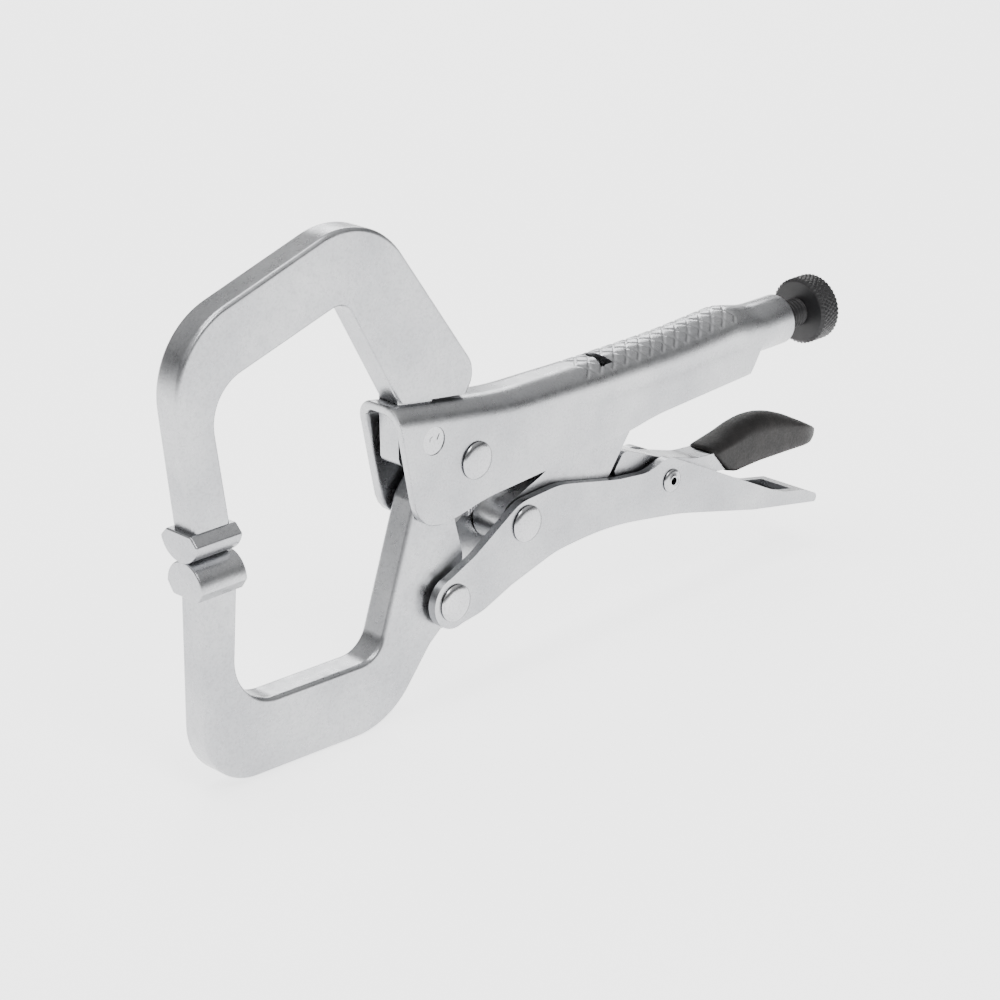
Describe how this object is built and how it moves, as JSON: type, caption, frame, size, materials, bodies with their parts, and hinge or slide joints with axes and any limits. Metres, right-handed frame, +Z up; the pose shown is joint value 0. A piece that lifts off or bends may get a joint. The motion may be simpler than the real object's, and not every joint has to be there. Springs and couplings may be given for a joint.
{
  "type": "locking C-clamp pliers",
  "caption": "Plated steel locking C-clamp pliers with wide pads, shown closed and locked: toggle link, adjusting screw with knurled knob and a sleeved release lever.",
  "frame": {"origin": "centre of the tool's bounding box, closed and locked", "axes": "+X along the body towards the adjusting knob, +Y across the thickness, +Z up from the lower jaw to the upper jaw"},
  "size_m": [0.2776, 0.0226, 0.1564],
  "materials": {
    "plated_steel": "satin nickel plate with a fine grain",
    "rivet_steel": "bright satin",
    "black_oxide": "black oxide, semi-gloss",
    "black_sleeve": "matte dipped vinyl",
    "spring_steel": "plain wire"
  },
  "bodies": {
    "body": {"body_shell": "plated_steel", "upper_jaw": "plated_steel", "upper_jaw_pad": "plated_steel", "jaw_fixing_pin": "rivet_steel", "jaw_pivot_rivet": "rivet_steel", "tension_spring": "spring_steel"},
    "jaw": {"lower_jaw": "plated_steel", "lower_jaw_pad": "plated_steel"},
    "lever": {"lever_shell": "plated_steel", "lever_jaw_rivet": "rivet_steel", "link_rivet": "rivet_steel", "release_rivet": "rivet_steel"},
    "link": {"toggle_link": "plated_steel"},
    "release": {"release_lever": "plated_steel", "release_sleeve": "black_sleeve"},
    "screw": {"adjusting_screw": "black_oxide"},
    "knob": {"adjusting_knob": "black_oxide"}
  },
  "joints": [
    {"name": "jaw_swing", "type": "hinge", "parent": "body", "child": "jaw", "pos_m": [-0.03219, 0, -0.00131], "axis": [0, -1, 0], "range_deg": [0, 40], "deforming": ["tension_spring"]},
    {"name": "lever_swing", "type": "hinge", "parent": "jaw", "child": "lever", "pos_m": [-0.04189, 0, -0.04451], "axis": [0, -1, 0], "range_deg": [-98.5, 0]},
    {"name": "link_swing", "type": "hinge", "parent": "lever", "child": "link", "pos_m": [-0.01109, 0, -0.02781], "axis": [0, -1, 0], "range_deg": [0, 101.7]},
    {"name": "release_swing", "type": "hinge", "parent": "lever", "child": "release", "pos_m": [0.05561, 0, -0.03231], "axis": [0, 1, 0], "range_deg": [0, 8]},
    {"name": "screw_feed", "type": "slide", "parent": "body", "child": "screw", "axis": [1, 0, 0], "range_m": [0, 0.018]},
    {"name": "knob_spin", "type": "hinge", "parent": "screw", "child": "knob", "pos_m": [0.13351, 0, 0.00599], "axis": [1, 0, 0], "range_deg": [0, 4320.1]}
  ],
  "couplings": [
    {"joint": "lever_swing", "follows": "jaw_swing", "ratio": -2.46},
    {"joint": "link_swing", "follows": "jaw_swing", "ratio": 2.54},
    {"joint": "knob_spin", "follows": "screw_feed", "rad_per_m": 4188.8}
  ]
}
